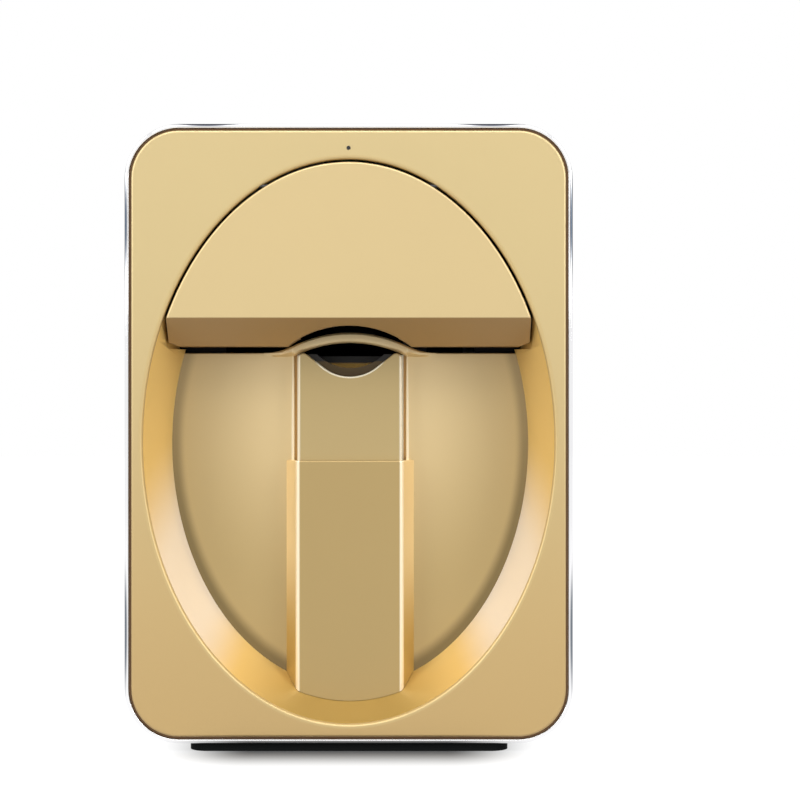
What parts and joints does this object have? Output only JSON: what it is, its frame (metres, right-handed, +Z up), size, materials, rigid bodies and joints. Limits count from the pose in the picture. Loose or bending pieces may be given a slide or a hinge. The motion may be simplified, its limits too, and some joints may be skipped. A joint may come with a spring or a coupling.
{
  "type": "digital nail art printer",
  "caption": "Portable nail printer: gold front with an oval hand recess, sprung finger rest under a hood, hinged cartridge cover, and a two-axis inkjet drive inside.",
  "frame": {"origin": "centre of the footprint, on the table under the foot strips", "axes": "+X to the right seen from the front, +Y from the front panel into the machine, +Z up"},
  "size_m": [0.1388, 0.175, 0.1943],
  "materials": {
    "gold_paint": "satin metallic gold coating on moulded plastic",
    "cover_gold": "smooth satin gold, slightly lighter than the panel",
    "trim_chrome": "bright polished plating",
    "white_shell": "glossy moulded white",
    "foot_rubber": "matte with two fine grooves",
    "dark_plastic": "fine moulded texture",
    "black_gloss": "smooth",
    "ground_steel": "ground bright",
    "coated_sheet": "folded sheet with a matte black powder coat",
    "zinc_screw": "zinc plating",
    "magnet_nickel": "nickel plating",
    "spring_steel": "drawn wire",
    "bronze_bush": "sintered, slightly oily",
    "turned_brass": "turned",
    "coupler_aluminium": "anodised",
    "motor_steel": "laminated stack and end caps",
    "small_motor": "drawn steel can",
    "circuit_board": "solder mask over glass fibre",
    "chip_epoxy": "moulded",
    "capacitor_sleeve": "can with a dark stripe",
    "connector_nylon": "moulded",
    "sink_aluminium": "extruded",
    "shield_tin": "tin-plated can",
    "cartridge_black": "moulded with a fine grain",
    "head_steel": "nozzle plate",
    "latch_blue": "smooth",
    "camera_black": "housing with a small lens",
    "light_white": "small white lamps on a white board"
  },
  "bodies": {
    "housing": {"front_panel": "gold_paint", "recess_wall": "gold_paint", "bezel_ring": "trim_chrome", "bay_floor": "gold_paint", "finger_sleeve": "gold_paint", "latch_magnets": "magnet_nickel", "body_shell": "white_shell", "rear_panel": "white_shell", "foot_strips": "foot_rubber", "status_light": "black_gloss", "light_board": "circuit_board", "power_switch": "black_gloss", "inlet_socket": "black_gloss", "tray_rods": "ground_steel", "tray_springs": "spring_steel", "rod_bracket": "dark_plastic", "chassis": "coated_sheet", "y_rods": "ground_steel", "y_motor": "motor_steel", "screw_bracket": "coated_sheet", "screw_bearing": "ground_steel", "camera_module": "camera_black", "nail_lights": "light_white", "mainboard": "circuit_board", "board_chips": "chip_epoxy", "board_capacitors": "capacitor_sleeve", "board_connectors": "connector_nylon", "heat_sink": "sink_aluminium", "wifi_module": "shield_tin", "board_standoffs": "turned_brass", "board_screws": "zinc_screw", "chassis_screws": "zinc_screw", "front_screws": "zinc_screw", "recess_screws": "zinc_screw", "rear_screws": "zinc_screw"},
    "finger_rest": {"finger_plate": "gold_paint", "finger_tray": "gold_paint", "slider_block": "dark_plastic", "slider_bushes": "bronze_bush", "slider_screws": "zinc_screw"},
    "cover": {"cartridge_cover": "cover_gold", "cover_hinge_pins": "ground_steel", "cover_magnets": "magnet_nickel"},
    "power_button": {"power_button": "gold_paint"},
    "gantry": {"gantry_frame": "dark_plastic", "gantry_bushes": "bronze_bush", "gantry_nut": "turned_brass", "x_rods": "ground_steel", "x_motor": "small_motor"},
    "carriage": {"carriage": "dark_plastic", "carriage_bushes": "bronze_bush", "carriage_nut": "turned_brass", "ink_cartridge": "cartridge_black", "print_head": "head_steel", "latch_pin": "ground_steel"},
    "latch": {"cartridge_latch": "latch_blue"},
    "x_screw": {"x_screw": "ground_steel"},
    "y_screw": {"y_screw": "ground_steel", "y_coupler": "coupler_aluminium"}
  },
  "joints": [
    {"name": "finger_rest_slide", "type": "slide", "parent": "housing", "child": "finger_rest", "axis": [0, 0, -1], "range_m": [0, 0.012], "stiffness_N_per_m": 150, "springref_m": -0.006, "deforming": ["tray_springs"]},
    {"name": "cover_hinge", "type": "hinge", "parent": "housing", "child": "cover", "pos_m": [0, -0.0866, 0.175], "axis": [-1, 0, 0], "range_deg": [0, 60]},
    {"name": "power_button_press", "type": "slide", "parent": "housing", "child": "power_button", "axis": [0, -1, 0], "range_m": [0, 0.0008], "stiffness_N_per_m": 1500, "springref_m": -0.0002},
    {"name": "gantry_slide", "type": "slide", "parent": "housing", "child": "gantry", "axis": [0, -1, 0], "range_m": [0, 0.042]},
    {"name": "carriage_slide", "type": "slide", "parent": "gantry", "child": "carriage", "axis": [1, 0, 0], "range_m": [-0.009, 0.009]},
    {"name": "latch_hinge", "type": "hinge", "parent": "carriage", "child": "latch", "pos_m": [0, 0.013, 0.1785], "axis": [-1, 0, 0], "range_deg": [0, 15]},
    {"name": "x_screw_turn", "type": "hinge", "parent": "gantry", "child": "x_screw", "pos_m": [0, 0.014, 0.16], "axis": [1, 0, 0], "range_deg": [-1085, 1085]},
    {"name": "y_screw_turn", "type": "hinge", "parent": "housing", "child": "y_screw", "pos_m": [0.031, 0, 0.136], "axis": [0, 1, 0], "range_deg": [0, 1895]}
  ],
  "couplings": [
    {"joint": "x_screw_turn", "follows": "carriage_slide", "rad_per_m": -2094.4},
    {"joint": "y_screw_turn", "follows": "gantry_slide", "rad_per_m": 785.4}
  ]
}
